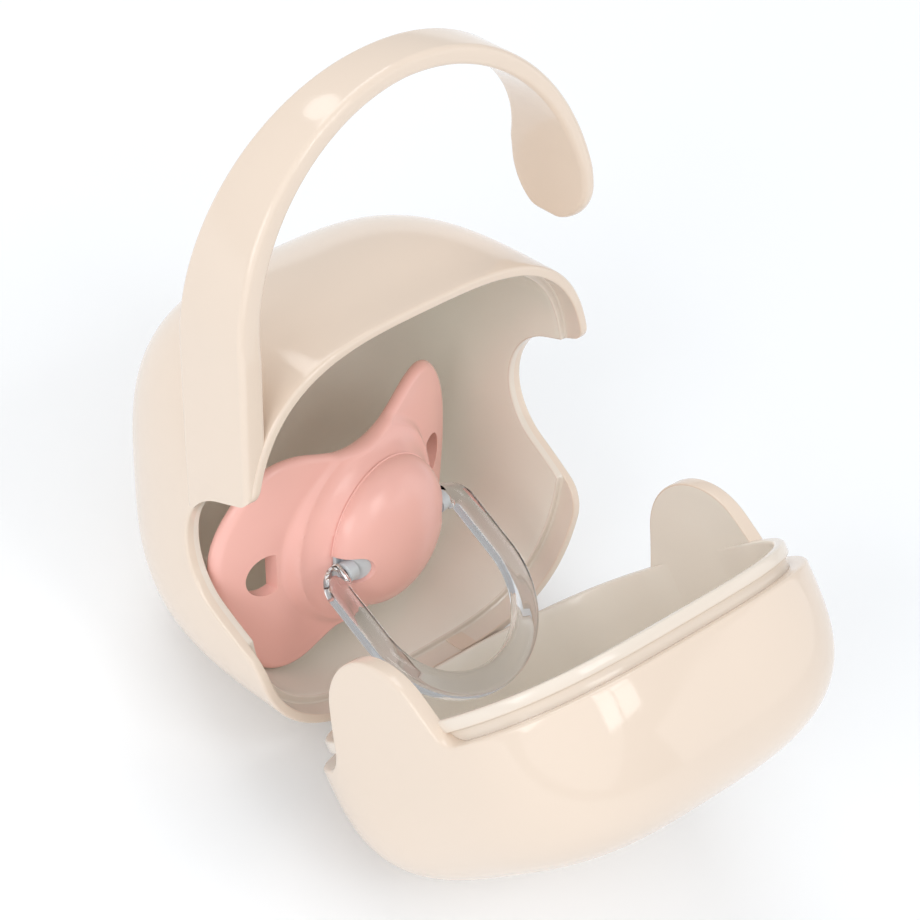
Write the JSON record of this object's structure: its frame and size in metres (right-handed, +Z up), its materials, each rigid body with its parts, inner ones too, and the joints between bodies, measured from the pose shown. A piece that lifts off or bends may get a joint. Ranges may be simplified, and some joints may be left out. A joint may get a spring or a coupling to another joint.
{
  "type": "pacifier sterilizer case",
  "caption": "Rounded-cube pacifier sterilizer case with a hinged front cover, an open hook handle and a pink pacifier with a clear pull ring inside.",
  "frame": {"origin": "centre of the whole object's bounding box, on the surface it rests on", "axes": "+Z up, -Y out of the open mouth toward the front cover, +X to the right seen from the front"},
  "size_m": [0.0786, 0.1224, 0.1167],
  "materials": {
    "shell_plastic": "glossy cream",
    "pin_steel": "satin",
    "pink_plastic": "satin pink",
    "nipple_silicone": "satin silicone",
    "plug_plastic": "satin light grey",
    "clear_plastic": "clear gloss"
  },
  "bodies": {
    "case": {"rear_shell": "shell_plastic", "carry_handle": "shell_plastic", "hinge_pin": "pin_steel"},
    "cover": {"front_cover": "shell_plastic"},
    "pacifier": {"pacifier_shield": "pink_plastic", "pacifier_nipple": "nipple_silicone", "pacifier_knob": "pink_plastic", "pacifier_plug": "plug_plastic"},
    "ring": {"pacifier_ring": "clear_plastic"}
  },
  "joints": [
    {"name": "cover_hinge", "type": "hinge", "parent": "case", "child": "cover", "pos_m": [0.00028, -0.00311, 0.00515], "axis": [1, 0, 0], "range_deg": [-52.5, 57.5]},
    {"name": "pacifier_lift", "type": "slide", "parent": "case", "child": "pacifier", "axis": [0, 0.3383, 0.941], "range_m": [0, 0.014]},
    {"name": "ring_swing", "type": "hinge", "parent": "pacifier", "child": "ring", "pos_m": [-0.00108, 0.01367, 0.03091], "axis": [-0.9858, -0.1628, 0.0402], "range_deg": [0, 80]}
  ]
}
